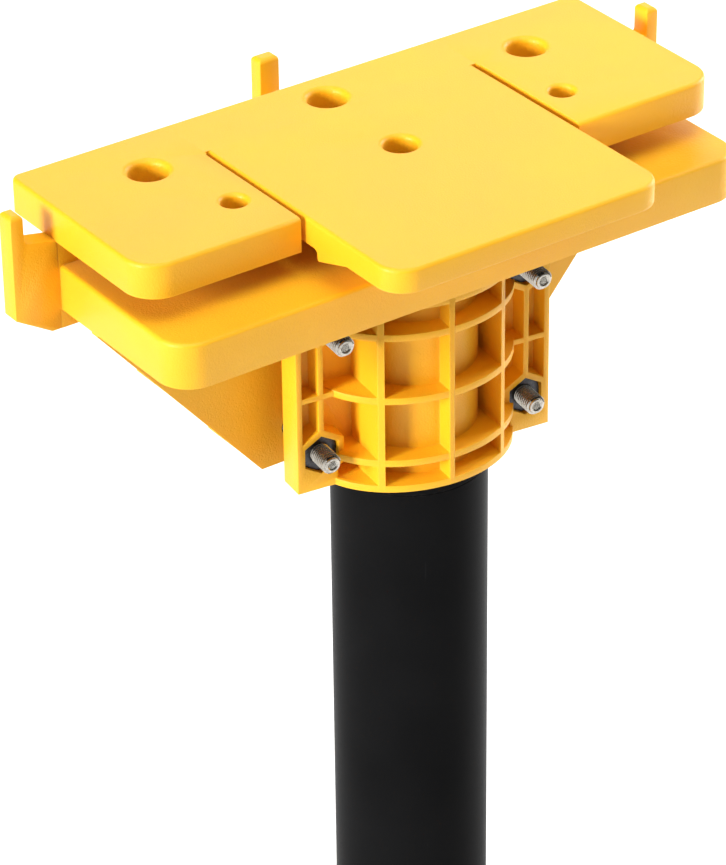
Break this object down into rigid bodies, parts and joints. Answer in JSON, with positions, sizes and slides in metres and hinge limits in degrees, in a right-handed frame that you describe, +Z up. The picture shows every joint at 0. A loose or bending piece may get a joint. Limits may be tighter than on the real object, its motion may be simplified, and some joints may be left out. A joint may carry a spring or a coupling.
{
  "type": "clamp-on post bracket head",
  "caption": "Two-tier moulded bracket head with a snap tongue, an open slot and upright hooks, held on top of a round post by a bolted split clamp.",
  "frame": {"origin": "centre of the post's open foot", "axes": "+Z up along the post, X along the plates, -Y towards the front, where the tongue and the bolts' thread ends are"},
  "size_m": [0.368, 0.216, 0.5215],
  "materials": {
    "yellow_plastic": "fine-grained satin moulding",
    "black_coat": "satin black coating",
    "zinc_steel": "bright zinc plate",
    "dark_steel": "dark grey plate"
  },
  "bodies": {
    "post": {"post_tube": "black_coat", "shoulder_ring": "black_coat", "post_spigot": "black_coat"},
    "head": {"upper_plate": "yellow_plastic", "lower_plate": "yellow_plastic", "back_wall": "yellow_plastic", "left_hook": "yellow_plastic", "right_hook": "yellow_plastic", "rear_hook": "yellow_plastic", "clamp_back_half": "yellow_plastic", "long_bolt": "zinc_steel", "middle_bolt": "zinc_steel", "short_bolts": "zinc_steel", "bolt_washers": "zinc_steel"},
    "tongue": {"snap_tongue": "yellow_plastic"},
    "front_clamp": {"clamp_front_half": "yellow_plastic", "clamp_nuts": "dark_steel"}
  },
  "joints": [
    {"name": "head_slide", "type": "slide", "parent": "post", "child": "head", "axis": [0, 0, 1], "range_m": [0, 0.06]},
    {"name": "tongue_flex", "type": "hinge", "parent": "head", "child": "tongue", "pos_m": [0, 0.0497, 0.52], "axis": [-1, 0, 0], "range_deg": [0, 4], "stiffness_Nm_per_rad": 40},
    {"name": "clamp_loosen", "type": "slide", "parent": "head", "child": "front_clamp", "axis": [-0.1219, -0.9925, 0], "range_m": [0, 0.003]}
  ]
}
